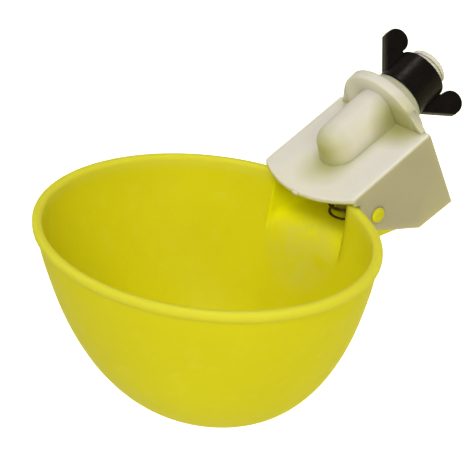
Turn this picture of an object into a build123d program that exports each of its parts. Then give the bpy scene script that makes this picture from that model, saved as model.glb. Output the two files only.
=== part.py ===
"""Hinged poultry drinking cup with its spring-loaded valve body and wing nut.

Units are millimetres. The origin is on the stem's axis at the flange's rear face.
+Y runs out along the threaded stem, +Z is up, and X = 0 is the plane of symmetry.
The cup's own frame has its origin at the centre of the rim, with Y to the back and
Z square to the rim. It is placed on the pivot, with the front of the cup lifted.
"""
from build123d import *
from math import asin, cos, pi, radians, sin, sqrt, tan
import os

# Threaded stem, flange and water channel
STEM_RADIUS = 5.0
STEM_LENGTH = 16.5
STEM_CHAMFER = 0.6
INLET_RADIUS = 2.75
FLANGE_RADIUS = 11.5
FLANGE_THICKNESS = 2.5
FLANGE_EDGE = 0.5
INLET_DEPTH = 16.0
RIDGE_HALF_WIDTH = 4.9
RIDGE_SUNK = 1.9
RIDGE_HEIGHT = 9.6
RIDGE_SLOPE = 2.9
RIDGE_DRAFT = 3.0
RIDGE_CROWN = 4.2
RIDGE_NOSE_REACH = 22.3
CHANNEL_WALL = 1.8

# Housing: roof, cheeks and rear wall
HOUSING_WIDTH = 30.0
CHEEK_THICKNESS = 1.3
ROOF_THICKNESS = 1.2
ROOF_SLOPE = 5.27
ROOF_DROP = 1.34
ROOF_SIDE_LENGTH = 28.2
ROOF_FRONT_BULGE = 4.8
ROOF_EDGE = 0.7
GATE_WIDTH = 1.6
GATE_PROUD = 0.5
REAR_WALL_Y = -1.5
REAR_WALL_THICKNESS = 1.8
HOUSING_DEPTH = 24.5
HOUSING_FOOT_LENGTH = 11.8
HOUSING_FOOT_RISE = 1.9
LOWER_EDGE_ANGLE = 41.5

# Pivot, and how the cup hangs on it
PIVOT_Y = -23.4
PIVOT_Z = -8.26
PIN_RADIUS = 1.9
PIN_CLEARANCE = 0.06
PIN_PROUD = 0.6
PIN_EDGE = 0.5
CUP_LIFT = 27.06
CLOSING_ANGLE = 12.0

# Cup: bowl, lip and neck
RIM_WIDTH = 85.0
RIM_LENGTH = 73.6
CUP_HEIGHT = 46.0
CUP_WALL = 1.5
CUP_FLOOR = 1.8
LIP_HEIGHT = 2.3
LIP_PROUD = 0.9
LIP_ROUND = 0.85
BOWL_SHIFT = 2.1
BOWL_SIDE_POWER = 1.455
BOWL_FOOT_POWER = 2.953
BOWL_RIM_LEAN = 0.05
BOWL_POINTS = 9
PIVOT_BEHIND_RIM = 4.3
PIVOT_BELOW_RIM = 4.0
NECK_GAP = 0.25
NECK_WALL = 1.25
NECK_FLOOR = 1.4
NECK_DEPTH = 12.3
NECK_TOP = 0.4
NECK_TAIL = 15.9
NECK_TAIL_DROP = 5.6
NECK_CORNER = 2.2
SILL_BACK = 39.0
SILL_RADIUS = 9.3
SILL_SWEEP = 66.0
SILL_BEHIND_WALL = 2.0
BOWL_CLEARANCE = 0.4
STOP_CLEARANCE = 0.4

# Valve: nozzle, rubber plug and return spring
PLUG_BEHIND_PIVOT = 6.0
PLUG_RADIUS = 2.6
PLUG_HEIGHT = 4.0
PLUG_CROWN = 0.5
PLUG_SEAT_WALL = 0.8
PLUG_SEAT_HEIGHT = 1.4
NOZZLE_RADIUS = 2.1
NOZZLE_BORE_RADIUS = 0.9
SEAL_GAP = 0.05
SPRING_SEAT_RADIUS = 5.6
SPRING_SEAT_HEIGHT = 11.6
SPRING_SEAT_THICKNESS = 3.2
SPRING_RADIUS = 4.5
SPRING_WIRE = 0.55
SPRING_TURNS = 4.5
SPRING_PHASE = -6.0
SPRING_END_GAP = 0.8

# Washer and wing nut on the stem
WASHER_THICKNESS = 4.0
WASHER_RADIUS = 7.3
WASHER_EDGE = 0.8
STEM_CLEARANCE = 0.05
NUT_RADIUS = 6.8
NUT_LENGTH = 9.4
NUT_EDGE = 0.5
EAR_ANGLE = -50.0
EAR_THICKNESS = 2.8
EAR_EDGE = 0.4
EAR_LOBE_RADIUS = 3.0
EAR_LOBE_REACH = 10.1
EAR_LOBE_RISE = 9.5
EAR_SHOULDER_REACH = 13.0
EAR_SHOULDER_RISE = 8.2
EAR_ROOT_BASE = 1.8
EAR_ROOT_TOP = 8.5

HOUSING_HALF = HOUSING_WIDTH / 2
CHEEK_INSIDE = HOUSING_HALF - CHEEK_THICKNESS
NECK_HALF = CHEEK_INSIDE - NECK_GAP
PIVOT_BACK = RIM_LENGTH / 2 + PIVOT_BEHIND_RIM
PLUG_BACK = PIVOT_BACK + PLUG_BEHIND_PIVOT
NECK_FLOOR_LEVEL = NECK_FLOOR - NECK_DEPTH
ROUNDNESS = RIM_WIDTH / RIM_LENGTH


def cup_place(turn):
    """Where the cup's frame lies once the cup has turned this many degrees from rest."""
    hinge = Pos(0, PIVOT_Y, PIVOT_Z) * Rot(turn - CUP_LIFT, 0, 0)
    return hinge * Pos(0, -PIVOT_BACK, PIVOT_BELOW_RIM)


def from_cup(back, up, turn=0):
    """A point of the cup's plane of symmetry, in the part's own frame."""
    return (cup_place(turn) * Pos(0, back, up)).position


def along_y(radius, start, end):
    """A round bar along the stem's axis."""
    bar = Cylinder(radius, end - start, align=(Align.CENTER, Align.CENTER, Align.MIN))
    return Pos(0, start, 0) * Rot(-90, 0, 0) * bar


def bowl_points(radius, height, first_share):
    """Points down one skin of the bowl, from a share of its depth to the foot."""
    first = asin(first_share)
    points = []
    for k in range(BOWL_POINTS):
        depth_share = sin(first + (pi / 2 - first) * k / (BOWL_POINTS - 1))
        width_share = max(1 - depth_share ** BOWL_SIDE_POWER, 0) ** (1 / BOWL_FOOT_POWER)
        points.append((radius * width_share, 0, -depth_share * height))
    return points


def bowl_skin(radius, height, first_share):
    """Smooth side curve of the bowl, upright at the rim and level at the foot."""
    return Spline(bowl_points(radius, height, first_share), tangents=[(-BOWL_RIM_LEAN, 0, -1), (-1, 0, 0)])


def bowl_space(inner):
    """The room inside the bowl, while it is still round."""
    centre = Polyline(inner @ 1, (0, 0, 0), inner @ 0)
    return revolve(make_face([inner, centre]), Axis.Z)


def round_bowl(inner, outer):
    """Bowl with its rolled lip, while it is still round."""
    radius = RIM_WIDTH / 2
    lip = Polyline(inner @ 0, (radius, 0, 0), (radius, 0, -LIP_HEIGHT), outer @ 0)
    section = make_face([outer, Line(outer @ 1, inner @ 1), inner, lip])
    rim_corners = [Vector(inner @ 0), Vector(radius, 0, 0), Vector(radius, 0, -LIP_HEIGHT)]
    near = LIP_ROUND / 9
    sharp = [v for v in section.vertices() if min((Vector(v) - c).length for c in rim_corners) < near]
    return revolve(fillet(sharp, LIP_ROUND), Axis.Z)


def above_floor(floor, top):
    """Ring of space above the neck's floor, which rolls over a sill and down the bowl's wall."""
    level = floor - NECK_DEPTH
    roll = JernArc((SILL_BACK * ROUNDNESS, level), (-1, 0), SILL_RADIUS - NECK_FLOOR + floor, SILL_SWEEP)
    inside = (roll @ 1).X - SILL_BEHIND_WALL
    far = (PIVOT_BACK + NECK_TAIL) * ROUNDNESS + SILL_RADIUS
    rest = Polyline(roll @ 1, (inside, (roll @ 1).Y), (inside, top), (far, top), (far, level), roll @ 0)
    return revolve(Plane.XZ * make_face([roll, rest]), Axis.Z)


def neck_block(inset, floor, top, corner):
    """The neck as a tray with rounded lower edges, before the squeeze."""
    start = RIM_LENGTH / 2 - NECK_DEPTH
    tail = (PIVOT_BACK + NECK_TAIL - inset) * ROUNDNESS
    outline = Polyline(
        (start, -RIM_LENGTH),
        (tail, -RIM_LENGTH),
        (tail, top - NECK_TAIL_DROP),
        ((PIVOT_BACK + 2 * PIN_RADIUS) * ROUNDNESS, top),
        (start, top),
        close=True,
    )
    half = NECK_HALF - inset
    bar = extrude(make_face(Plane.YZ * outline), half, both=True) & above_floor(floor, top)
    level = floor - NECK_DEPTH
    side_edges = [e for e in bar.edges() if abs(abs(e.center().X) - half) < 0.01]
    along = [e for e in side_edges if abs(e.tangent_at(0.5).X) < 0.01 and abs(e.tangent_at(0).Z) < 0.99]
    low_edges = [e for e in along if e.center().Z < level + 0.01]
    return fillet(low_edges, corner)


def squeeze():
    """Makes the round bowl oval and moves its foot back, and leaves heights alone."""
    lean = BOWL_SHIFT / CUP_HEIGHT
    return Matrix([[1, 0, 0, 0], [0, 1 / ROUNDNESS, -lean, 0], [0, 0, 1, 0], [0, 0, 0, 1]])


def build_cup():
    """Bowl, rolled lip, neck tray, plug seat and pivot pins in one moulding."""
    side_radius = RIM_WIDTH / 2 - LIP_PROUD
    outer = bowl_skin(side_radius, CUP_HEIGHT, LIP_HEIGHT / CUP_HEIGHT)
    inner = bowl_skin(side_radius - CUP_WALL, CUP_HEIGHT - CUP_FLOOR, 0)
    neck = neck_block(0, 0, -NECK_TOP, NECK_CORNER)
    hollow = neck_block(NECK_WALL, NECK_FLOOR, CUP_HEIGHT, NECK_CORNER - NECK_WALL)
    cup = round_bowl(inner, outer) + (neck - bowl_space(inner)) - hollow
    cup = cup.transform_geometry(squeeze())

    ring = Cylinder(PLUG_RADIUS + PLUG_SEAT_WALL, PLUG_SEAT_HEIGHT) - Cylinder(PLUG_RADIUS, PLUG_SEAT_HEIGHT)
    cup += Pos(0, PLUG_BACK, NECK_FLOOR_LEVEL + PLUG_SEAT_HEIGHT / 2) * ring

    pin_length = HOUSING_HALF + PIN_PROUD - NECK_HALF + NECK_WALL / 2
    for side in (-1, 1):
        blank = Rot(0, 90, 0) * Cylinder(PIN_RADIUS, pin_length)
        pin = fillet(blank.edges().group_by(Axis.X)[-1 if side > 0 else 0], PIN_EDGE)
        middle = HOUSING_HALF + PIN_PROUD - pin_length / 2
        cup += Pos(side * middle, PIVOT_BACK, -PIVOT_BELOW_RIM) * pin
    return cup_place(0) * cup


def build_plug():
    """Rubber plug in its ring on the neck's floor, with a slightly domed face."""
    blank = Cylinder(PLUG_RADIUS, PLUG_HEIGHT, align=(Align.CENTER, Align.CENTER, Align.MIN))
    plug = fillet(blank.edges().group_by(Axis.Z)[-1], PLUG_CROWN)
    return cup_place(0) * Pos(0, PLUG_BACK, NECK_FLOOR_LEVEL) * plug


def roof_plane():
    """The top face of the roof, rising towards the front."""
    normal = (0, sin(radians(ROOF_SLOPE)), cos(radians(ROOF_SLOPE)))
    return Plane(origin=(0, 0, -ROOF_DROP), x_dir=(1, 0, 0), z_dir=normal)


def roof_point(ahead, sunk):
    """Y and Z of a point this far forward along the roof and this far under its face."""
    slope = radians(ROOF_SLOPE)
    y = -ahead * cos(slope) - sunk * sin(slope)
    z = -ROOF_DROP + ahead * sin(slope) - sunk * cos(slope)
    return y, z


def build_roof():
    """Roof plate with a bowed front edge and rounded long edges."""
    sides = Polyline(
        (-HOUSING_HALF, -ROOF_SIDE_LENGTH),
        (-HOUSING_HALF, REAR_WALL_Y),
        (HOUSING_HALF, REAR_WALL_Y),
        (HOUSING_HALF, -ROOF_SIDE_LENGTH),
    )
    front = ThreePointArc(sides @ 1, (0, -ROOF_SIDE_LENGTH - ROOF_FRONT_BULGE), sides @ 0)
    plane = roof_plane()
    plate = extrude(plane * make_face([sides, front]), ROOF_THICKNESS, dir=-plane.z_dir)
    long_edges = plate.edges().filter_by(Axis((0, 0, 0), plane.y_dir))
    plate = fillet(long_edges.group_by(Axis((0, 0, 0), plane.z_dir))[-1], ROOF_EDGE)
    front_middle = (0, -ROOF_SIDE_LENGTH - ROOF_FRONT_BULGE, -ROOF_THICKNESS / 2)
    return plate + plane * Pos(front_middle) * Box(GATE_WIDTH, GATE_PROUD * 2, ROOF_THICKNESS * 0.7)


def build_cheek():
    """Right-hand cheek, cut back where the rim and the bowl's back wall swing."""
    sunk = ROOF_THICKNESS / 2
    top_front = roof_point(ROOF_SIDE_LENGTH, sunk)
    top_rear = (REAR_WALL_Y, roof_point(-REAR_WALL_Y, sunk)[1])
    foot_rear = (REAR_WALL_Y, -HOUSING_DEPTH)
    foot_front = (REAR_WALL_Y - HOUSING_FOOT_LENGTH, HOUSING_FOOT_RISE - HOUSING_DEPTH)
    run = foot_front[0] - top_front[0] + ROOF_FRONT_BULGE / 2
    low_front = (foot_front[0] - run, foot_front[1] + run * tan(radians(LOWER_EDGE_ANGLE)))
    outline = Polyline(top_front, top_rear, foot_rear, foot_front, low_front, close=True)
    plate = extrude(make_face(Plane.YZ * outline), CHEEK_THICKNESS, dir=(1, 0, 0))
    cheek = Pos(CHEEK_INSIDE, 0, 0) * plate

    lip_back = RIM_LENGTH / 2 * sqrt(1 - (CHEEK_INSIDE / (RIM_WIDTH / 2)) ** 2)
    swing_room = Box(RIM_WIDTH, lip_back + BOWL_CLEARANCE, CUP_HEIGHT,
                     align=(Align.CENTER, Align.MIN, Align.MAX))
    cheek -= cup_place(0) * Pos(0, 0, STOP_CLEARANCE) * swing_room
    hole = Rot(0, 90, 0) * Cylinder(PIN_RADIUS + PIN_CLEARANCE, HOUSING_WIDTH * 2)
    return cheek - Pos(0, PIVOT_Y, PIVOT_Z) * hole


def build_ridge():
    """Half-round ridge on the roof over the water channel, with draft on its sides."""
    nose = RIDGE_NOSE_REACH - RIDGE_HALF_WIDTH
    plan = Pos(0, -nose / 2) * Rectangle(2 * RIDGE_HALF_WIDTH, nose)
    plan += Pos(0, -nose) * Circle(RIDGE_HALF_WIDTH)
    base = Pos(0, 0, -RIDGE_SUNK) * Rot(-RIDGE_SLOPE, 0, 0)
    ridge = extrude(plan, RIDGE_HEIGHT, taper=RIDGE_DRAFT)
    crown = ridge.edges().group_by(Axis.Z)[-1].filter_by(lambda e: e.center().Y < -FLANGE_THICKNESS / 2)
    return base * fillet(crown, RIDGE_CROWN)


def nozzle_place():
    """On the neck's floor under the plug when the valve is shut, along the nozzle."""
    return cup_place(CLOSING_ANGLE) * Pos(0, PLUG_BACK, NECK_FLOOR_LEVEL)


def build_valve_body():
    """Stem, flange, rear wall, roof, cheeks, water channel and nozzle in one moulding."""
    cheek = build_cheek()
    body = build_roof() + cheek + mirror(cheek, about=Plane.YZ)
    wall_top = -ROOF_DROP - ROOF_THICKNESS / 2
    wall = Box(2 * CHEEK_INSIDE + CHEEK_THICKNESS, REAR_WALL_THICKNESS, HOUSING_DEPTH + wall_top,
               align=(Align.CENTER, Align.MAX, Align.MAX))
    body += Pos(0, REAR_WALL_Y, wall_top) * wall
    body += build_ridge()

    reach = SPRING_SEAT_HEIGHT + SPRING_SEAT_THICKNESS / 2
    pad = Pos(0, 0, SPRING_SEAT_HEIGHT) * Cylinder(
        SPRING_SEAT_RADIUS, SPRING_SEAT_THICKNESS, align=(Align.CENTER, Align.CENTER, Align.MIN))
    spout = Pos(0, 0, PLUG_HEIGHT + SEAL_GAP) * Cylinder(
        NOZZLE_RADIUS, reach - PLUG_HEIGHT, align=(Align.CENTER, Align.CENTER, Align.MIN))
    body += nozzle_place() * pad + nozzle_place() * spout
    body += along_y(INLET_RADIUS + CHANNEL_WALL, -INLET_DEPTH - CHANNEL_WALL, 0)

    flange = along_y(FLANGE_RADIUS, -FLANGE_THICKNESS, 0)
    stem = along_y(STEM_RADIUS, 0, STEM_LENGTH)
    body += fillet(flange.edges().group_by(Axis.Y)[0], FLANGE_EDGE)
    body += chamfer(stem.edges().group_by(Axis.Y)[-1], STEM_CHAMFER)

    body -= along_y(INLET_RADIUS, -INLET_DEPTH, STEM_LENGTH)
    drop = Cylinder(NOZZLE_BORE_RADIUS, reach + ROOF_DROP, align=(Align.CENTER, Align.CENTER, Align.MIN))
    return body - nozzle_place() * Pos(0, 0, PLUG_HEIGHT) * drop


def build_spring():
    """Return spring between the neck's floor and the pad round the nozzle's root."""
    base = from_cup(PLUG_BACK, NECK_FLOOR_LEVEL)
    top = (nozzle_place() * Pos(0, 0, SPRING_SEAT_HEIGHT)).position
    axis = (top - base).normalized()
    height = (top - base).length - 2 * SPRING_END_GAP
    start = Plane(origin=base + axis * SPRING_END_GAP, x_dir=(1, 0, 0), z_dir=axis)
    coil = Helix(height / SPRING_TURNS, height, SPRING_RADIUS)
    section = Plane(origin=coil @ 0, z_dir=coil % 0) * Circle(SPRING_WIRE / 2)
    wire = sweep(section, path=coil)
    return start.location * Rot(0, 0, SPRING_PHASE) * wire


def build_washer():
    """Soft sealing washer between the flange and the nut."""
    ring = along_y(WASHER_RADIUS, 0, WASHER_THICKNESS)
    ring = fillet(ring.edges().group_by(Axis.Y)[-1], WASHER_EDGE)
    return ring - along_y(STEM_RADIUS + STEM_CLEARANCE, 0, WASHER_THICKNESS)


def build_ear():
    """One wing of the nut, flat with a round lobe that leans away from the washer."""
    radial = (cos(radians(EAR_ANGLE)), 0, sin(radians(EAR_ANGLE)))
    normal = (-sin(radians(EAR_ANGLE)), 0, cos(radians(EAR_ANGLE)))
    plane = Plane(origin=(0, WASHER_THICKNESS, 0), x_dir=radial, z_dir=normal)
    inside = (STEM_RADIUS + NUT_RADIUS) / 2
    blade = make_face(Polyline(
        (inside, EAR_ROOT_BASE),
        (NUT_RADIUS, EAR_ROOT_BASE),
        (EAR_SHOULDER_REACH, EAR_SHOULDER_RISE),
        (EAR_LOBE_REACH + EAR_LOBE_RADIUS, EAR_LOBE_RISE),
        (EAR_LOBE_REACH, EAR_LOBE_RISE),
        (inside, EAR_ROOT_TOP),
        close=True,
    ))
    blade += Pos(EAR_LOBE_REACH, EAR_LOBE_RISE) * Circle(EAR_LOBE_RADIUS)
    ear = extrude(blade, EAR_THICKNESS / 2, both=True)
    face_edges = [e for e in ear.edges() if abs(e.center().Z) > EAR_THICKNESS / 3]
    outline = [e for e in face_edges if e.center().X > inside + EAR_EDGE]
    return plane.location * fillet(outline, EAR_EDGE)


def build_wing_nut():
    """Barrel with two ears, bored for the stem."""
    far = WASHER_THICKNESS + NUT_LENGTH
    barrel = along_y(NUT_RADIUS, WASHER_THICKNESS, far)
    barrel = fillet(barrel.edges(), NUT_EDGE)
    ear = build_ear()
    nut = barrel + ear + Rot(0, 180, 0) * ear
    return nut - along_y(STEM_RADIUS + STEM_CLEARANCE, WASHER_THICKNESS, far)


os.makedirs("parts", exist_ok=True)
PIECES = {
    "cup": build_cup,
    "valve_plug": build_plug,
    "valve_body": build_valve_body,
    "return_spring": build_spring,
    "sealing_washer": build_washer,
    "wing_nut": build_wing_nut,
}
for name, build in PIECES.items():
    export_step(build(), f"parts/{name}.step")
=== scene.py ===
"""Finishes and fine pieces for a hinged poultry drinking cup, laid round its CAD frame.

Lengths are in metres, in the CAD frame: +Y runs out along the threaded stem and +Z is up.
The drinking cup hangs with its front lifted by the return spring, as on an empty cup.
"""
from math import acos, cos, pi, radians, sin

import bmesh
import bpy
from bpy.props import FloatProperty, FloatVectorProperty, IntProperty, PointerProperty
from mathutils import Matrix, Vector


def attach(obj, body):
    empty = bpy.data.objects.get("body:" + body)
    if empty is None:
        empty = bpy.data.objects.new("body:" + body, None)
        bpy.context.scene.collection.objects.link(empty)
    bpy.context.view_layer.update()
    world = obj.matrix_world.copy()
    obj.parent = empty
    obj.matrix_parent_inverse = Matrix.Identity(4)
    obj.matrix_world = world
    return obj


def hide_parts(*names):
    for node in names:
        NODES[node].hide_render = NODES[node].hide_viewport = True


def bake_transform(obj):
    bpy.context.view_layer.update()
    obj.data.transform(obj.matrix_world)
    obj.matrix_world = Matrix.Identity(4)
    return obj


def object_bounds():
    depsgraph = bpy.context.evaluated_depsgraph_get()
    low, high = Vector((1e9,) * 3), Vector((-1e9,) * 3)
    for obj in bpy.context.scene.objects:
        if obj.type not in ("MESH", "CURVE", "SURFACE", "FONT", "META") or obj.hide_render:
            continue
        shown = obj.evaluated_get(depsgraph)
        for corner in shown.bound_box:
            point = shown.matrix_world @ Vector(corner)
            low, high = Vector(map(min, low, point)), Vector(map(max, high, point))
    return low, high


bl_info = {
    "name": "Poultry drinking cup",
    "version": (1, 0, 0),
    "blender": (4, 5, 0),
    "location": "3D View > Sidebar > Drinking Cup",
    "description": "Moulded finishes, spring and thread for a hinged poultry drinking cup",
    "category": "Object",
}

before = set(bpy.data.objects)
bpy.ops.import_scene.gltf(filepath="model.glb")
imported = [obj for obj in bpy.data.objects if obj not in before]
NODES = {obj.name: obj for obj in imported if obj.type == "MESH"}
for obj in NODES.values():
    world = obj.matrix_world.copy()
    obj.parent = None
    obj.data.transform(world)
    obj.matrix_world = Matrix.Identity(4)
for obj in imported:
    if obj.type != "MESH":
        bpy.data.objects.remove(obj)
CAD_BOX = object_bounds()

# The return spring's axis at rest, from the neck's floor to the pad round the nozzle
SPRING_FOOT = Vector((0, -0.021196, -0.017134))
SPRING_HEAD = Vector((0, -0.016385, -0.005280))

# The rim's plane at rest, by its normal and its distance along that normal
CUP_LIFT = radians(27.06)
RIM_NORMAL = (0, sin(CUP_LIFT), cos(CUP_LIFT))
RIM_LEVEL = -0.014001

# Each lamp's place and width; they all face one point
LAMPS = {
    "key_lamp": ((0.30, -0.24, 0.80), 0.42),
    "fill_lamp": ((-0.02, -0.66, 0.46), 0.30),
    "rear_lamp": ((-0.12, 0.46, 0.76), 0.30),
    "side_lamp": ((0.74, -0.30, 0.44), 0.40),
}
LAMP_AIM = Vector((0, -0.04, 0))

# The floor's half width, the camera's sensor in millimetres, and the nearest that it sees
FLOOR_REACH = 3.0
SENSOR_WIDTH = 36
NEAREST_SEEN = 0.01

# Divisions of round pieces and edges, and how close two vertices are that are one
WIRE_SIDES = 12
SKIRT_SIDES = 96
EDGE_STEPS = 3
MERGE_GAP = 1e-7

UPWARDS = (0, 0, 1)


# Node trees
class Tree:
    """A short way to add nodes to one material and join them."""

    def __init__(self, name):
        self.material = bpy.data.materials.new(name)
        self.material.use_nodes = True
        self.tree = self.material.node_tree
        self.tree.nodes.clear()
        self.output = self.add("ShaderNodeOutputMaterial")

    def add(self, kind, **values):
        node = self.tree.nodes.new(kind)
        for key, value in values.items():
            setattr(node, key, value)
        return node

    def join(self, source, target):
        self.tree.links.new(source, target)

    def place(self):
        """Place on the piece, in the CAD frame."""
        return self.add("ShaderNodeTexCoord").outputs["Object"]

    def noise(self, size, detail, offset=(0, 0, 0)):
        """Noise whose features are about this many metres across."""
        mapping = self.add("ShaderNodeMapping")
        mapping.inputs["Location"].default_value = offset
        noise = self.add("ShaderNodeTexNoise")
        noise.inputs["Scale"].default_value = 1 / size
        noise.inputs["Detail"].default_value = detail
        self.join(self.place(), mapping.inputs["Vector"])
        self.join(mapping.outputs["Vector"], noise.inputs["Vector"])
        return noise.outputs["Fac"]

    def spread(self, value, low, high, low_out=0.0, high_out=1.0):
        """Maps a value from one range to another, and clamps it."""
        node = self.add("ShaderNodeMapRange")
        node.inputs["From Min"].default_value = low
        node.inputs["From Max"].default_value = high
        node.inputs["To Min"].default_value = low_out
        node.inputs["To Max"].default_value = high_out
        self.join(value, node.inputs["Value"])
        return node.outputs["Result"]

    def patches(self, size, detail, low=0.3, high=0.7, offset=(0, 0, 0)):
        """Soft patches about this many metres across, from nought to one."""
        return self.spread(self.noise(size, detail, offset), low, high)

    def wander(self, patches, middle, below, above):
        """A value that the patches take from below its middle to above it."""
        return self.spread(patches, 0, 1, middle - below, middle + above)

    def colours(self, amount, first, second):
        """Goes from one colour to the other; each is a colour or a socket."""
        node = self.add("ShaderNodeMix", data_type="RGBA")
        self.join(amount, node.inputs["Factor"])
        for name, value in (("A", first), ("B", second)):
            socket = [s for s in node.inputs if s.name == name and s.type == "RGBA"][0]
            if isinstance(value, bpy.types.NodeSocket):
                self.join(value, socket)
            else:
                socket.default_value = (*value, 1)
        return [s for s in node.outputs if s.type == "RGBA"][0]

    def lay(self, colour, over, amount, share=1.0, start=0.0, full=1.0):
        """Lays a second colour over the first, at this share where the amount is full."""
        return self.colours(self.spread(amount, start, full, 0.0, share), colour, over)

    def product(self, first, second):
        node = self.add("ShaderNodeMath", operation="MULTIPLY")
        self.join(first, node.inputs[0])
        self.join(second, node.inputs[1])
        return node.outputs[0]

    def near(self, middle, reach):
        """One at a point of the object and nought from this far away."""
        gap = self.add("ShaderNodeVectorMath", operation="DISTANCE")
        gap.inputs[1].default_value = middle
        self.join(self.place(), gap.inputs[0])
        return self.spread(gap.outputs["Value"], 0.0, reach, 1.0, 0.0)

    def along(self, direction, start, end):
        """Nought before the first distance along a direction and one past the second."""
        travel = self.add("ShaderNodeVectorMath", operation="DOT_PRODUCT")
        travel.inputs[1].default_value = direction
        self.join(self.place(), travel.inputs[0])
        return self.spread(travel.outputs["Value"], start, end)

    def sides(self, start, end):
        """Nought within the smaller distance from the middle plane and one beyond the greater."""
        axes = self.add("ShaderNodeSeparateXYZ")
        distance = self.add("ShaderNodeMath", operation="ABSOLUTE")
        self.join(self.place(), axes.inputs[0])
        self.join(axes.outputs["X"], distance.inputs[0])
        return self.spread(distance.outputs[0], start, end)

    def hollows(self, reach):
        """One where other faces stand round within this reach, and nought on open faces."""
        node = self.add("ShaderNodeAmbientOcclusion", samples=8)
        node.inputs["Distance"].default_value = reach
        return self.spread(node.outputs["AO"], 0.35, 0.95, 1.0, 0.0)

    def softened(self, radius):
        """Normal that rounds the edges over this many metres."""
        bevel = self.add("ShaderNodeBevel", samples=6)
        bevel.inputs["Radius"].default_value = radius
        return bevel.outputs["Normal"]

    def bumps(self, layers, normal=None):
        """Stacks bumps of (height socket, metres deep) and gives the last normal."""
        for height, depth in layers:
            bump = self.add("ShaderNodeBump")
            bump.inputs["Strength"].default_value = 1.0
            bump.inputs["Distance"].default_value = depth
            self.join(height, bump.inputs["Height"])
            if normal is not None:
                self.join(normal, bump.inputs["Normal"])
            normal = bump.outputs["Normal"]
        return normal

    def surface(self, colour, roughness, normal, **fixed):
        """Principled surface; the fixed values are set on its own sockets."""
        shader = self.add("ShaderNodeBsdfPrincipled", subsurface_method="RANDOM_WALK")
        self.join(colour, shader.inputs["Base Color"])
        self.join(roughness, shader.inputs["Roughness"])
        self.join(normal, shader.inputs["Normal"])
        for key, value in fixed.items():
            shader.inputs[key.replace("_", " ")].default_value = value
        self.join(shader.outputs["BSDF"], self.output.inputs["Surface"])
        return self.material


# Finishes
def cup_plastic(look):
    """Yellow moulded cup: satin, with slow waves and faint scuffs; painted light makes it a brighter, deeper
    yellow in its hollows, and painted highlights pale the lip and a patch on the sill.
    """
    tree = Tree("cup_plastic")
    lip = tree.along(RIM_NORMAL, RIM_LEVEL - look.lip_depth, RIM_LEVEL - look.lip_depth / 2)
    scuffs = tree.patches(0.004, 6, 0.55, 0.75, (0.01, 0.02, 0))
    # Painted highlight: a pale patch on the sill under the roof
    highlight = tree.product(tree.near(look.sill_highlight_place, look.sill_highlight_reach), tree.patches(0.004, 4, 0.3, 0.6))
    colour = tree.colours(tree.patches(0.030, 2, 0.35, 0.65), look.colour, look.second_colour)
    # Painted light: a brighter, deeper yellow where other faces stand round, in the hollows where shade falls
    colour = tree.lay(colour, look.painted_hollow_and_fleck_tone, tree.hollows(look.hollow_reach), start=0.1, full=0.8)
    # Painted highlight: paler yellow along the lip, near the rim's plane
    colour = tree.lay(colour, look.lip_highlight_colour, lip, share=0.85)
    colour = tree.lay(colour, look.scuff_colour, scuffs, share=0.12)
    colour = tree.lay(colour, look.sill_highlight_colour, highlight, share=0.55, full=0.5)
    roughness = tree.wander(tree.patches(0.006, 5), look.roughness, 0.05, 0.07)
    normal = tree.bumps([
        (tree.noise(0.014, 2, (0.3, 0, 0)), look.wave_depth),
        (tree.noise(0.00035, 3), look.grain_depth),
    ], tree.softened(look.edge_radius))
    return tree.surface(colour, roughness, normal, Specular_IOR_Level=look.gloss,
                        Subsurface_Weight=look.translucency, Subsurface_Scale=0.005,
                        Subsurface_Radius=(1.0, 0.95, 0.35))


def housing_plastic(look):
    """Cream housing: matte and slightly translucent, with painted shade that makes it greener in its corners,
    at the ridge's nose and where ridge and flange meet, darker on top of the ridge and flange, and duller on
    its cheeks.
    """
    tree = Tree("housing_plastic")
    crown = tree.along(UPWARDS, look.crown_start, look.crown_end)
    nose = tree.near(look.nose_place, look.tint_reach)
    root = tree.near(look.root_place, look.tint_reach)
    colour = tree.colours(tree.patches(0.012, 2), look.colour, look.second_colour)
    # Painted shade: a greener, darker tint where other faces stand round
    colour = tree.lay(colour, look.painted_hollow_and_fleck_tone, tree.hollows(look.hollow_reach), share=0.9)
    # Painted shade: the upper parts of the ridge and flange darker
    colour = tree.lay(colour, look.crown_shade_colour, crown)
    # Painted shade: green at the ridge's nose
    colour = tree.lay(colour, look.nose_shade_colour, nose, share=0.95, full=0.9)
    # Painted shade: green where ridge, flange and roof meet
    colour = tree.lay(colour, look.root_shade_colour, root, share=0.85, full=0.7)
    # Painted shade: darker, duller cream on both cheeks
    colour = tree.lay(colour, look.cheek_shade_colour, tree.sides(look.cheek_start, look.cheek_end))
    # The corner tint, laid at random in fine flecks
    colour = tree.lay(colour, look.painted_hollow_and_fleck_tone, tree.patches(0.0009, 4, 0.62, 0.75), share=0.10)
    roughness = tree.wander(tree.patches(0.003, 5), look.roughness, 0.05, 0.08)
    normal = tree.bumps([
        (tree.noise(0.006, 2, (0.1, 0, 0)), look.wave_depth),
        (tree.noise(0.0003, 3), look.grain_depth),
    ], tree.softened(look.edge_radius))
    return tree.surface(colour, roughness, normal, Specular_IOR_Level=look.gloss,
                        Subsurface_Weight=look.translucency, Subsurface_Scale=0.006,
                        Subsurface_Radius=(1.0, 1.0, 0.6))


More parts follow.
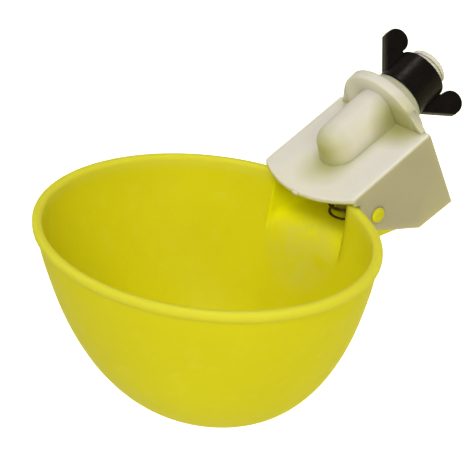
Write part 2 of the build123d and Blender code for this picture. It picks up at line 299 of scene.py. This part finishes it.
def washer_silicone(look):
    """Sealing washer: soft and translucent, with a faint grain and painted shade in its corners."""
    tree = Tree("washer_silicone")
    colour = tree.colours(tree.patches(0.004, 3), look.colour, look.second_colour)
    # Painted shade: a darker, greener tint where other faces stand round
    colour = tree.lay(colour, look.painted_hollow_and_fleck_tone, tree.hollows(look.hollow_reach), share=0.8)
    roughness = tree.wander(tree.patches(0.002, 4), look.roughness, 0.06, 0.08)
    normal = tree.bumps([(tree.noise(0.0008, 3), look.grain_depth)])
    return tree.surface(colour, roughness, normal, Specular_IOR_Level=look.gloss,
                        Subsurface_Weight=look.translucency, Subsurface_Scale=0.003)


def nut_plastic(look):
    """Black wing nut: fine moulded grain, and patches that hands have rubbed a little lighter."""
    tree = Tree("nut_plastic")
    colour = tree.colours(tree.patches(0.005, 4), look.colour, look.rubbed_colour)
    roughness = tree.wander(tree.patches(0.0015, 5), look.roughness, 0.06, 0.10)
    normal = tree.bumps([(tree.noise(0.00025, 3), look.grain_depth)])
    return tree.surface(colour, roughness, normal, Specular_IOR_Level=look.gloss,
                        Specular_Tint=(*look.gloss_colour, 1))


def plug_rubber(look):
    """Soft valve plug, duller in patches."""
    tree = Tree("plug_rubber")
    cloud = tree.patches(0.002, 4)
    colour = tree.colours(cloud, look.colour, look.second_colour)
    roughness = tree.wander(cloud, look.roughness, 0.05, 0.10)
    normal = tree.bumps([(tree.noise(0.0004, 3), look.grain_depth)])
    return tree.surface(colour, roughness, normal, Specular_IOR_Level=look.gloss)


def spring_steel(look):
    """Drawn steel wire, darkened by oil."""
    tree = Tree("spring_steel")
    cloud = tree.patches(0.0015, 5, 0.35, 0.65)
    colour = tree.colours(cloud, look.colour, look.second_colour)
    roughness = tree.wander(cloud, look.roughness, 0.07, 0.10)
    normal = tree.bumps([(tree.noise(0.0002, 3), look.grain_depth)])
    return tree.surface(colour, roughness, normal, Metallic=1.0)


# Mesh helpers
def finish_piece(name, work, material):
    """Turns a bmesh into a smooth object with its place in its mesh."""
    mesh = bpy.data.meshes.new(name)
    work.to_mesh(mesh)
    work.free()
    piece = bpy.data.objects.new(name, mesh)
    bpy.context.scene.collection.objects.link(piece)
    mesh.materials.append(material)
    for face in mesh.polygons:
        face.use_smooth = True
    return piece


def screw(work, section, angle, rise, steps):
    """Carries a closed section round the Z axis while it climbs; gives its last ring."""
    made = bmesh.ops.spin(work, geom=section, cent=(0, 0, 0), axis=UPWARDS, angle=angle,
                          dvec=(0, 0, rise / steps), steps=steps, use_duplicate=False)
    return made["geom_last"]


def close_mesh(work):
    """Joins vertices that lie on each other and turns all faces outwards."""
    bmesh.ops.remove_doubles(work, verts=work.verts, dist=MERGE_GAP)
    bmesh.ops.recalc_face_normals(work, faces=work.faces)


def onto_stem(work, start=0.0):
    """Lays what stands along Z onto the stem, from this far past the flange's rear face."""
    turn = Matrix.Rotation(-pi / 2, 4, "X")
    bmesh.ops.transform(work, verts=work.verts, matrix=Matrix.Translation((0, start, 0)) @ turn)


def paint_node(name, material):
    """Gives a CAD node's object this material in place of its own."""
    for slot in NODES[name].material_slots:
        slot.material = material


def node_material(name):
    """Material that a CAD node already wears."""
    return NODES[name].material_slots[0].material


# Settings
class StageLook(bpy.types.PropertyGroup):
    """Camera, lamps and floor."""
    camera_place: FloatVectorProperty(name="Camera place", description="Where the camera stands",
                                      default=(0.25659, -0.18816, 0.27655), subtype="XYZ", unit="LENGTH",
                                      precision=5)
    camera_azimuth: FloatProperty(name="Azimuth", description="Camera's bearing from the front of the cup",
                                  default=radians(62.10), subtype="ANGLE")
    camera_height: FloatProperty(name="Elevation", description="Camera's angle above the level",
                                 default=radians(43.07), subtype="ANGLE")
    camera_roll: FloatProperty(name="Roll", description="Camera's turn about its own line of sight",
                               default=radians(-24.42), subtype="ANGLE")
    lens: FloatProperty(name="Lens", description="Focal length on a 36 mm sensor", default=132.5,
                        unit="CAMERA")
    floor_gap: FloatProperty(name="Floor gap", description="Room between the cup's lowest point and floor",
                             default=0.030, unit="LENGTH")
    floor_colour: FloatVectorProperty(name="Floor colour", description="Colour of the floor",
                                      default=(0.88, 0.86, 0.58), subtype="COLOR", min=0, max=1)
    floor_glow: FloatProperty(name="Floor glow", description="Light that the floor adds for the camera alone",
                              default=0.80)
    sky_colour: FloatVectorProperty(name="Sky colour", description="Colour of the even light",
                                    default=(1.0, 0.965, 0.86), subtype="COLOR", min=0, max=1)
    sky_level: FloatProperty(name="Sky", description="Strength of the even light from all round",
                             default=0.38)
    key_level: FloatProperty(name="Key lamp", description="Power of the large soft lamp above",
                             default=3.4)
    fill_level: FloatProperty(name="Fill lamp", description="Power of the soft lamp at the front",
                              default=0.45)
    rear_level: FloatProperty(name="Rear lamp", description="Power of the soft lamp behind the stem",
                              default=1.2)
    side_level: FloatProperty(name="Side lamp", description="Power of the soft lamp at the camera's side",
                              default=1.9)


class CupLook(bpy.types.PropertyGroup):
    """Finish of the yellow cup."""
    colour: FloatVectorProperty(name="Colour", description="Main yellow",
                                default=(0.65, 0.60, 0.010), subtype="COLOR", min=0, max=1)
    second_colour: FloatVectorProperty(name="Second colour", description="Yellow it drifts to",
                                       default=(0.62, 0.57, 0.010), subtype="COLOR", min=0, max=1)
    # Painted light: the brighter, deeper yellow laid in the hollows, where shade falls
    painted_hollow_and_fleck_tone: FloatVectorProperty(name="Hollow colour", description="Deeper yellow inside the cup",
                                       default=(0.88, 0.83, 0.002), subtype="COLOR", min=0, max=1)
    hollow_reach: FloatProperty(name="Hollow reach", description="How near other faces deepen the yellow",
                                default=0.030, unit="LENGTH")
    # Painted highlight: the paler yellow along the lip; the lip depth sets where it fades out
    lip_highlight_colour: FloatVectorProperty(name="Lip colour", description="Paler yellow of the rolled lip",
                                    default=(0.65, 0.61, 0.045), subtype="COLOR", min=0, max=1)
    lip_depth: FloatProperty(name="Lip depth", description="How far down the paler lip fades out",
                             default=0.0036, unit="LENGTH", precision=4)
    scuff_colour: FloatVectorProperty(name="Scuff colour", description="Colour of faint scuffs",
                                      default=(0.78, 0.75, 0.10), subtype="COLOR", min=0, max=1)
    # Painted highlight on the sill under the roof: its colour, middle and size
    sill_highlight_colour: FloatVectorProperty(name="Haze colour", description="Pale haze on the sill",
                                     default=(0.66, 0.62, 0.10), subtype="COLOR", min=0, max=1)
    sill_highlight_place: FloatVectorProperty(name="Haze place", description="Middle of the pale haze", subtype="XYZ",
                                    default=(0, -0.0368, -0.0155), unit="LENGTH", precision=4)
    sill_highlight_reach: FloatProperty(name="Haze reach", description="Size of the pale haze", default=0.0125,
                              unit="LENGTH", precision=4)
    edge_radius: FloatProperty(name="Edge radius", description="Rounding of the edges in the finish",
                               default=0.0018, unit="LENGTH", precision=4)
    roughness: FloatProperty(name="Roughness", description="Mean roughness", default=0.42, subtype="FACTOR")
    gloss: FloatProperty(name="Gloss", description="Specular level", default=0.06, subtype="FACTOR")
    translucency: FloatProperty(name="Translucency", description="Share of light that spreads inside",
                                default=0.75, subtype="FACTOR")
    wave_depth: FloatProperty(name="Wave depth", description="Depth of the slow moulding waves",
                              default=0.0001, unit="LENGTH", precision=6)
    grain_depth: FloatProperty(name="Grain depth", description="Depth of the fine grain",
                               default=0.000008, unit="LENGTH", precision=6)


class HousingLook(bpy.types.PropertyGroup):
    """Finish of the cream valve body."""
    colour: FloatVectorProperty(name="Colour", description="Main cream",
                                default=(0.79, 0.75, 0.625), subtype="COLOR", min=0, max=1)
    second_colour: FloatVectorProperty(name="Second colour", description="Cream it drifts to",
                                       default=(0.77, 0.73, 0.60), subtype="COLOR", min=0, max=1)
    # Painted shade: the greener tint laid in the corners; the same tint is also laid at random in fine flecks
    painted_hollow_and_fleck_tone: FloatVectorProperty(name="Hollow colour", description="Tint in the corners",
                                       default=(0.52, 0.52, 0.26), subtype="COLOR", min=0, max=1)
    hollow_reach: FloatProperty(name="Hollow reach", description="How near other faces bring the tint",
                                default=0.0035, unit="LENGTH", precision=4)
    # Painted shade: the darker, duller cream laid on both cheeks
    cheek_shade_colour: FloatVectorProperty(name="Cheek colour", description="Duller cream of the cheeks",
                                      default=(0.43, 0.39, 0.26), subtype="COLOR", min=0, max=1)
    cheek_start: FloatProperty(name="Cheek start", description="Distance across at which the colour starts",
                               default=0.0146, unit="LENGTH", precision=4)
    cheek_end: FloatProperty(name="Cheek end", description="Distance across at which it is full",
                             default=0.0150, unit="LENGTH", precision=4)
    # Painted shade: the darker cream laid on top of the ridge and flange
    crown_shade_colour: FloatVectorProperty(name="Crown colour", description="Cream on top of the ridge and flange",
                                      default=(0.66, 0.63, 0.55), subtype="COLOR", min=0, max=1)
    crown_start: FloatProperty(name="Crown start", description="Height at which the crown colour starts",
                               default=0.0035, unit="LENGTH", precision=4)
    crown_end: FloatProperty(name="Crown end", description="Height at which it is full",
                             default=0.0075, unit="LENGTH", precision=4)
    # Painted shade: the green tint at the ridge's nose
    nose_shade_colour: FloatVectorProperty(name="Nose colour", description="Green tint where the ridge is thick",
                                     default=(0.38, 0.38, 0.10), subtype="COLOR", min=0, max=1)
    nose_place: FloatVectorProperty(name="Nose place", description="Foot of the ridge's rounded end",
                                    default=(0, -0.0226, 0.0042), subtype="XYZ", unit="LENGTH", precision=4)
    # Painted shade: the green tint where ridge, flange and roof meet
    root_shade_colour: FloatVectorProperty(name="Root colour", description="Green tint where ridge and flange meet",
                                     default=(0.38, 0.37, 0.12), subtype="COLOR", min=0, max=1)
    root_place: FloatVectorProperty(name="Root place", description="Where ridge, flange and roof meet",
                                    default=(0.0070, -0.0031, 0.0012), subtype="XYZ", unit="LENGTH",
                                    precision=4)
    tint_reach: FloatProperty(name="Tint reach", description="Where the nose and root tints have faded out",
                              default=0.0085, unit="LENGTH", precision=4)
    edge_radius: FloatProperty(name="Edge radius", description="Rounding of the edges in the finish",
                               default=0.0006, unit="LENGTH", precision=4)
    roughness: FloatProperty(name="Roughness", description="Mean roughness", default=0.48, subtype="FACTOR")
    gloss: FloatProperty(name="Gloss", description="Specular level", default=0.25, subtype="FACTOR")
    translucency: FloatProperty(name="Translucency", description="Share of light that spreads inside",
                                default=0.75, subtype="FACTOR")
    wave_depth: FloatProperty(name="Wave depth", description="Depth of the slow moulding waves",
                              default=0.00004, unit="LENGTH", precision=6)
    grain_depth: FloatProperty(name="Grain depth", description="Depth of the fine grain",
                               default=0.000008, unit="LENGTH", precision=6)


class WasherLook(bpy.types.PropertyGroup):
    """Finish of the sealing washer."""
    colour: FloatVectorProperty(name="Colour", description="Main colour",
                                default=(0.52, 0.50, 0.36), subtype="COLOR", min=0, max=1)
    second_colour: FloatVectorProperty(name="Second colour", description="Colour it drifts to",
                                       default=(0.47, 0.45, 0.32), subtype="COLOR", min=0, max=1)
    # Painted shade: the darker, greener tint laid in the corners
    painted_hollow_and_fleck_tone: FloatVectorProperty(name="Hollow colour", description="Tint in the corners",
                                       default=(0.32, 0.32, 0.15), subtype="COLOR", min=0, max=1)
    hollow_reach: FloatProperty(name="Hollow reach", description="How near other faces bring the tint",
                                default=0.003, unit="LENGTH", precision=4)
    roughness: FloatProperty(name="Roughness", description="Mean roughness", default=0.35, subtype="FACTOR")
    gloss: FloatProperty(name="Gloss", description="Specular level", default=0.25, subtype="FACTOR")
    translucency: FloatProperty(name="Translucency", description="Share of light that spreads inside",
                                default=0.5, subtype="FACTOR")
    grain_depth: FloatProperty(name="Grain depth", description="Depth of the fine grain",
                               default=0.00002, unit="LENGTH", precision=6)


class NutLook(bpy.types.PropertyGroup):
    """Finish of the black wing nut."""
    colour: FloatVectorProperty(name="Colour", description="Main black",
                                default=(0.0018, 0.0016, 0.0014), subtype="COLOR", min=0, max=1)
    rubbed_colour: FloatVectorProperty(name="Rubbed colour", description="Black where hands rub it",
                                       default=(0.0055, 0.0045, 0.0040), subtype="COLOR", min=0, max=1)
    roughness: FloatProperty(name="Roughness", description="Mean roughness", default=0.28, subtype="FACTOR")
    gloss: FloatProperty(name="Gloss", description="Specular level", default=0.13, subtype="FACTOR")
    gloss_colour: FloatVectorProperty(name="Gloss colour", description="Warm tint of the shine",
                                      default=(1, 0.84, 0.78), subtype="COLOR", min=0, max=1)
    grain_depth: FloatProperty(name="Grain depth", description="Depth of the fine grain",
                               default=0.00001, unit="LENGTH", precision=6)


class PlugLook(bpy.types.PropertyGroup):
    """Finish of the valve plug."""
    colour: FloatVectorProperty(name="Colour", description="Main colour",
                                default=(0.56, 0.50, 0.06), subtype="COLOR", min=0, max=1)
    second_colour: FloatVectorProperty(name="Second colour", description="Colour it drifts to",
                                       default=(0.50, 0.45, 0.04), subtype="COLOR", min=0, max=1)
    roughness: FloatProperty(name="Roughness", description="Mean roughness", default=0.60, subtype="FACTOR")
    gloss: FloatProperty(name="Gloss", description="Specular level", default=0.3, subtype="FACTOR")
    grain_depth: FloatProperty(name="Grain depth", description="Depth of the fine grain",
                               default=0.00002, unit="LENGTH", precision=6)


class SpringShape(bpy.types.PropertyGroup):
    """Size and finish of the return spring."""
    wire_radius: FloatProperty(name="Wire radius", description="Half the wire's thickness",
                               default=0.00035, unit="LENGTH", precision=6)
    coil_radius: FloatProperty(name="Coil radius", description="From the spring's axis to the wire's centre",
                               default=0.0045, unit="LENGTH", precision=5)
    end_gap: FloatProperty(name="End gap", description="From each seat to the wire's centre",
                           default=0.00040, unit="LENGTH", precision=5)
    turns: FloatProperty(name="Turns", description="Open turns between the closed ends", default=4.75)
    closed_turns: FloatProperty(name="Closed turns", description="Flat part of a turn at each end",
                                default=0.3)
    closed_rise: FloatProperty(name="Closed rise", description="Climb of each closed end",
                               default=0.00005, unit="LENGTH", precision=6)
    phase: FloatProperty(name="Phase", description="Where the wire starts", default=radians(188),
                         subtype="ANGLE")
    steps: IntProperty(name="Steps", description="Divisions in one turn", default=72)
    colour: FloatVectorProperty(name="Colour", description="Colour of the oiled wire",
                                default=(0.07, 0.045, 0.020), subtype="COLOR", min=0, max=1)
    second_colour: FloatVectorProperty(name="Second colour", description="Colour it drifts to",
                                       default=(0.13, 0.09, 0.05), subtype="COLOR", min=0, max=1)
    roughness: FloatProperty(name="Roughness", description="Mean roughness", default=0.35, subtype="FACTOR")
    grain_depth: FloatProperty(name="Grain depth", description="Depth of the drawing marks",
                               default=0.000008, unit="LENGTH", precision=6)


class ThreadShape(bpy.types.PropertyGroup):
    """Size of the thread on the stem's free end."""
    pitch: FloatProperty(name="Pitch", description="Rise in one turn", default=0.0010, unit="LENGTH",
                         precision=5)
    root_radius: FloatProperty(name="Root radius", description="Where the ridge is sunk into the stem",
                               default=0.00490, unit="LENGTH", precision=5)
    crest_radius: FloatProperty(name="Crest radius", description="Outside of the thread",
                                default=0.00501, unit="LENGTH", precision=5)
    crest_width: FloatProperty(name="Crest width", description="Width of the flat on the crest",
                               default=0.0002, unit="LENGTH", precision=5)
    start: FloatProperty(name="Start", description="Where it leaves the nut", default=0.01355, unit="LENGTH",
                         precision=5)
    turns: FloatProperty(name="Turns", description="Turns that show", default=1.75)
    fade: FloatProperty(name="Fade", description="Share of its radius that the ridge loses at its end",
                        default=0.05)
    steps: IntProperty(name="Steps", description="Divisions in one turn", default=96)


class GussetShape(bpy.types.PropertyGroup):
    """Size of the two webs between the flange and the roof."""
    flange_radius: FloatProperty(name="Flange radius", description="Circle the webs leave on a tangent",
                                 default=0.01146, unit="LENGTH", precision=5)
    half_width: FloatProperty(name="Half width", description="Half the width at the roof",
                              default=0.0133, unit="LENGTH", precision=4)
    foot_level: FloatProperty(name="Foot level", description="Height of the roof at the flange",
                              default=-0.0012, unit="LENGTH", precision=4)
    sunk: FloatProperty(name="Sunk", description="Depth below the roof's top", default=0.0008,
                        unit="LENGTH", precision=4)
    overlap: FloatProperty(name="Overlap", description="Depth inside the flange", default=0.0012,
                           unit="LENGTH", precision=4)
    front: FloatProperty(name="Front", description="Front face along the stem", default=-0.00247,
                         unit="LENGTH", precision=5)
    back: FloatProperty(name="Back", description="Rear face along the stem", default=-0.00004,
                        unit="LENGTH", precision=5)
    thinning: FloatProperty(name="Thinning", description="Thickness lost on the way down to the roof",
                            default=0.0011, unit="LENGTH", precision=4)
    edge: FloatProperty(name="Edge", description="Radius of the edges", default=0.0002, unit="LENGTH",
                        precision=5)


class SkirtShape(bpy.types.PropertyGroup):
    """Size of the washer's soft skirt, along the stem from the flange to the nut."""
    bore: FloatProperty(name="Bore", description="Inside of the skirt, sunk in the washer",
                        default=0.0062, unit="LENGTH", precision=4)
    foot: FloatProperty(name="Foot", description="Radius against the flange", default=0.0085,
                        unit="LENGTH", precision=4)
    top: FloatProperty(name="Top", description="Radius at the nut", default=0.0073, unit="LENGTH",
                       precision=4)
    start: FloatProperty(name="Start", description="Room to the flange", default=0.00004, unit="LENGTH",
                         precision=5)
    length: FloatProperty(name="Length", description="Where it ends, at the nut", default=0.0038,
                          unit="LENGTH", precision=4)
    bulge: FloatProperty(name="Bulge", description="How far the foot swells and draws in, and the top",
                         default=0.0001, unit="LENGTH", precision=5)
    swell_level: FloatProperty(name="Swell level", description="Where the foot is widest",
                               default=0.0004, unit="LENGTH", precision=4)
    waist_level: FloatProperty(name="Waist level", description="Where the foot has drawn in",
                               default=0.0011, unit="LENGTH", precision=4)
    shoulder: FloatProperty(name="Shoulder", description="How far the shoulder stands past the top's radius",
                            default=0.0002, unit="LENGTH", precision=5)
    shoulder_drop: FloatProperty(name="Shoulder drop", description="How far the shoulder is from the nut",
                                 default=0.0005, unit="LENGTH", precision=4)


# Pieces
class CUP_OT_stage(bpy.types.Operator):
    """Adds the floor, the sky, the lamps and the camera"""
    bl_idname = "drinking_cup.stage"
    bl_label = "Add the stage"

    def execute(self, context):
        look = context.scene.cup_stage
        self.add_floor(look)
        self.add_sky(context, look)
        self.add_lamp(context, "key_lamp", look.key_level)
        self.add_lamp(context, "fill_lamp", look.fill_level)
        self.add_lamp(context, "rear_lamp", look.rear_level)
        self.add_lamp(context, "side_lamp", look.side_level)
        self.add_camera(context, look)
        return {"FINISHED"}

    def add_floor(self, look):
        work = bmesh.new()
        bmesh.ops.create_grid(work, x_segments=2, y_segments=2, size=FLOOR_REACH)
        bmesh.ops.translate(work, verts=work.verts, vec=(0, 0, CAD_BOX[0][2] - look.floor_gap))
        tree = Tree("floor_paint")
        paint = tree.add("ShaderNodeBsdfDiffuse")
        paint.inputs["Color"].default_value = (*look.floor_colour, 1)
        light = tree.add("ShaderNodeLightPath")
        share = tree.add("ShaderNodeMath", operation="MULTIPLY")
        share.inputs[1].default_value = look.floor_glow
        tree.join(light.outputs["Is Camera Ray"], share.inputs[0])
        glow = tree.add("ShaderNodeEmission")
        glow.inputs["Color"].default_value = (1, 1, 1, 1)
        tree.join(share.outputs[0], glow.inputs["Strength"])
        both = tree.add("ShaderNodeAddShader")
        tree.join(paint.outputs[0], both.inputs[0])
        tree.join(glow.outputs[0], both.inputs[1])
        tree.join(both.outputs[0], tree.output.inputs["Surface"])
        floor = finish_piece("floor", work, tree.material)

    def add_sky(self, context, look):
        """An even light, with a pale background that only the camera sees."""
        world = bpy.data.worlds.new("sky")
        context.scene.world = world
        world.use_nodes = True
        nodes, links = world.node_tree.nodes, world.node_tree.links
        nodes.clear()
        out = nodes.new("ShaderNodeOutputWorld")
        seen = nodes.new("ShaderNodeBackground")
        seen.inputs["Strength"].default_value = 1.0
        even = nodes.new("ShaderNodeBackground")
        even.inputs["Color"].default_value = (*look.sky_colour, 1)
        even.inputs["Strength"].default_value = look.sky_level
        mix = nodes.new("ShaderNodeMixShader")
        light = nodes.new("ShaderNodeLightPath")
        links.new(light.outputs["Is Camera Ray"], mix.inputs[0])
        links.new(even.outputs[0], mix.inputs[1])
        links.new(seen.outputs[0], mix.inputs[2])
        links.new(mix.outputs[0], out.inputs["Surface"])

    def add_lamp(self, context, name, power):
        """A round soft lamp that faces the cup."""
        place, width = LAMPS[name]
        lamp = bpy.data.lights.new(name, "AREA")
        lamp.shape = "DISK"
        lamp.size = width
        lamp.energy = power
        holder = bpy.data.objects.new(name, lamp)
        holder.location = place
        holder.rotation_euler = (Vector(place) - LAMP_AIM).to_track_quat("Z", "Y").to_euler()
        context.scene.collection.objects.link(holder)

    def add_camera(self, context, look):
        azimuth, height, roll = look.camera_azimuth, look.camera_height, look.camera_roll
        back = Vector((sin(azimuth) * cos(height), -cos(azimuth) * cos(height), sin(height)))
        level = Vector((cos(azimuth), sin(azimuth), 0))
        upright = back.cross(level)
        right = cos(roll) * level + sin(roll) * upright
        up = cos(roll) * upright - sin(roll) * level
        lens = bpy.data.cameras.new("camera")
        lens.lens = look.lens
        lens.sensor_width = SENSOR_WIDTH
        lens.clip_start = NEAREST_SEEN
        camera = bpy.data.objects.new("camera", lens)
        turn = Matrix((right, up, back)).transposed().to_4x4()
        camera.matrix_world = Matrix.Translation(look.camera_place) @ turn
        context.scene.collection.objects.link(camera)
        context.scene.camera = camera


class CUP_OT_cup(bpy.types.Operator):
    """Gives the drinking cup its yellow moulded finish"""
    bl_idname = "drinking_cup.cup"
    bl_label = "Finish the cup"

    def execute(self, context):
        paint_node("cup", cup_plastic(context.scene.cup_look))
        return {"FINISHED"}


class CUP_OT_housing(bpy.types.Operator):
    """Gives the valve body its cream moulded finish"""
    bl_idname = "drinking_cup.housing"
    bl_label = "Finish the valve body"

    def execute(self, context):
        paint_node("valve_body", housing_plastic(context.scene.cup_housing))
        return {"FINISHED"}


class CUP_OT_washer(bpy.types.Operator):
    """Gives the sealing washer its silicone finish"""
    bl_idname = "drinking_cup.washer"
    bl_label = "Finish the washer"

    def execute(self, context):
        paint_node("sealing_washer", washer_silicone(context.scene.cup_washer))
        return {"FINISHED"}


class CUP_OT_wing_nut(bpy.types.Operator):
    """Gives the wing nut its black finish"""
    bl_idname = "drinking_cup.wing_nut"
    bl_label = "Finish the wing nut"

    def execute(self, context):
        paint_node("wing_nut", nut_plastic(context.scene.cup_nut))
        return {"FINISHED"}


class CUP_OT_plug(bpy.types.Operator):
    """Gives the valve plug its rubber finish"""
    bl_idname = "drinking_cup.plug"
    bl_label = "Finish the plug"

    def execute(self, context):
        paint_node("valve_plug", plug_rubber(context.scene.cup_plug))
        return {"FINISHED"}


class CUP_OT_spring(bpy.types.Operator):
    """Winds the return spring, with closed ends, between the neck's floor and the pad round the nozzle"""
    bl_idname = "drinking_cup.spring"
    bl_label = "Wind the return spring"

    def execute(self, context):
        shape = context.scene.cup_spring
        work = bmesh.new()
        bmesh.ops.create_circle(work, cap_ends=True, radius=shape.wire_radius, segments=WIRE_SIDES)
        upright = Matrix.Rotation(pi / 2, 4, "X")
        out = Matrix.Translation((shape.coil_radius, 0, 0))
        bmesh.ops.transform(work, verts=work.verts, matrix=out @ upright)
        span = (SPRING_HEAD - SPRING_FOOT).length - 2 * shape.end_gap
        section = work.faces[:]
        closed = (shape.closed_turns, shape.closed_rise)
        for turns, rise in (closed, (shape.turns, span - 2 * shape.closed_rise), closed):
            section = screw(work, section, 2 * pi * turns, rise, int(turns * shape.steps))
        close_mesh(work)
        bmesh.ops.rotate(work, verts=work.verts, cent=(0, 0, 0), matrix=Matrix.Rotation(shape.phase, 3, "Z"))
        axis = (SPRING_HEAD - SPRING_FOOT).normalized()
        across = Vector((1, 0, 0))
        turn = Matrix((across, axis.cross(across), axis)).transposed().to_4x4()
        place = Matrix.Translation(SPRING_FOOT + axis * shape.end_gap) @ turn
        bmesh.ops.transform(work, verts=work.verts, matrix=place)
        wire = finish_piece("spring_wire", work, spring_steel(shape))
        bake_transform(wire)
        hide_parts("return_spring")
        return {"FINISHED"}


class CUP_OT_thread(bpy.types.Operator):
    """Winds the thread's ridge onto the stem's free end"""
    bl_idname = "drinking_cup.thread"
    bl_label = "Add the stem's thread"

    def execute(self, context):
        shape = context.scene.cup_thread
        half = shape.pitch / 2
        flat = shape.crest_width / 2
        rise = shape.pitch * shape.turns
        corners = [(shape.root_radius, -half), (shape.crest_radius, -flat),
                   (shape.crest_radius, flat), (shape.root_radius, half)]
        work = bmesh.new()
        face = work.faces.new([work.verts.new((x, 0, z)) for x, z in corners])
        screw(work, [face], 2 * pi * shape.turns, rise, int(shape.turns * shape.steps))
        close_mesh(work)
        for vert in work.verts:
            left = min((rise + half - vert.co.z) / shape.pitch, 1.0)
            vert.co.xy *= 1 - shape.fade * (1 - left) ** 2
        onto_stem(work, shape.start + half)
        thread = finish_piece("stem_thread", work, node_material("valve_body"))
        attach(thread, "housing")
        return {"FINISHED"}


class CUP_OT_gussets(bpy.types.Operator):
    """Adds the two small webs that carry the flange out to the roof's rear corners"""
    bl_idname = "drinking_cup.gussets"
    bl_label = "Add the flange gussets"

    def execute(self, context):
        shape = context.scene.cup_gussets
        foot = Vector((shape.half_width, shape.foot_level))
        lean = foot.angle_signed(Vector((1, 0))) + acos(shape.flange_radius / foot.length)
        top = shape.flange_radius * Vector((cos(lean), sin(lean)))
        inner = shape.flange_radius - shape.overlap
        bottom = foot.y - shape.sunk
        outline = [(inner, bottom), (foot.x, bottom), (foot.x, foot.y), (top.x, top.y),
                   (inner - shape.overlap, top.y)]
        for side, name in ((1, "gusset_right"), (-1, "gusset_left")):
            work = bmesh.new()
            face = work.faces.new([work.verts.new((side * x, shape.front, z)) for x, z in outline])
            grown = bmesh.ops.extrude_face_region(work, geom=[face])
            for item in grown["geom"]:
                if isinstance(item, bmesh.types.BMVert):
                    drop = min((top.y - item.co.z) / (top.y - foot.y), 1)
                    item.co.y = shape.back - shape.thinning * drop
            bmesh.ops.recalc_face_normals(work, faces=work.faces)
            bmesh.ops.bevel(work, geom=work.edges, offset=shape.edge, segments=EDGE_STEPS, affect="EDGES",
                            profile=0.5, material=-1)
            web = finish_piece(name, work, node_material("valve_body"))
            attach(web, "housing")
        return {"FINISHED"}


class CUP_OT_washer_skirt(bpy.types.Operator):
    """Turns the washer's soft skirt, which spreads against the flange"""
    bl_idname = "drinking_cup.washer_skirt"
    bl_label = "Add the washer's skirt"

    def execute(self, context):
        shape = context.scene.cup_skirt
        profile = [
            (shape.bore, shape.start),
            (shape.foot, shape.start),
            (shape.foot + shape.bulge, shape.swell_level),
            (shape.foot - shape.bulge, shape.waist_level),
            (shape.top + shape.shoulder, shape.length - shape.shoulder_drop),
            (shape.top - shape.bulge, shape.length),
            (shape.bore, shape.length),
        ]
        work = bmesh.new()
        verts = [work.verts.new((x, 0, z)) for x, z in profile]
        edges = [work.edges.new((a, b)) for a, b in zip(verts, verts[1:] + verts[:1])]
        bmesh.ops.spin(work, geom=verts + edges, cent=(0, 0, 0), axis=UPWARDS, angle=2 * pi,
                       steps=SKIRT_SIDES, use_merge=True, use_duplicate=False)
        close_mesh(work)
        onto_stem(work)
        skirt = finish_piece("washer_skirt", work, node_material("sealing_washer"))
        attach(skirt, "housing")
        return {"FINISHED"}


class CUP_PT_panel(bpy.types.Panel):
    """Lists the pieces of the drinking cup"""
    bl_label = "Drinking Cup"
    bl_idname = "CUP_PT_panel"
    bl_space_type = "VIEW_3D"
    bl_region_type = "UI"
    bl_category = "Drinking Cup"

    def draw(self, context):
        for operator in OPERATORS:
            self.layout.operator(operator.bl_idname)


SETTINGS = {
    "cup_stage": StageLook,
    "cup_look": CupLook,
    "cup_housing": HousingLook,
    "cup_washer": WasherLook,
    "cup_nut": NutLook,
    "cup_plug": PlugLook,
    "cup_spring": SpringShape,
    "cup_thread": ThreadShape,
    "cup_gussets": GussetShape,
    "cup_skirt": SkirtShape,
}
OPERATORS = (CUP_OT_stage, CUP_OT_cup, CUP_OT_housing, CUP_OT_washer, CUP_OT_wing_nut, CUP_OT_plug,
             CUP_OT_spring, CUP_OT_thread, CUP_OT_gussets, CUP_OT_washer_skirt)


def register():
    for name, group in SETTINGS.items():
        bpy.utils.register_class(group)
        setattr(bpy.types.Scene, name, PointerProperty(type=group))
    for operator in OPERATORS:
        bpy.utils.register_class(operator)
    bpy.utils.register_class(CUP_PT_panel)


def unregister():
    bpy.utils.unregister_class(CUP_PT_panel)
    for operator in reversed(OPERATORS):
        bpy.utils.unregister_class(operator)
    for name, group in reversed(SETTINGS.items()):
        delattr(bpy.types.Scene, name)
        bpy.utils.unregister_class(group)


def main():
    register()
    bpy.ops.drinking_cup.stage()
    bpy.ops.drinking_cup.cup()
    bpy.ops.drinking_cup.housing()
    bpy.ops.drinking_cup.washer()
    bpy.ops.drinking_cup.wing_nut()
    bpy.ops.drinking_cup.plug()
    bpy.ops.drinking_cup.spring()
    bpy.ops.drinking_cup.thread()
    bpy.ops.drinking_cup.gussets()
    bpy.ops.drinking_cup.washer_skirt()
    bpy.context.scene.view_settings.view_transform = "Standard"


if __name__ == "__main__":
    main()
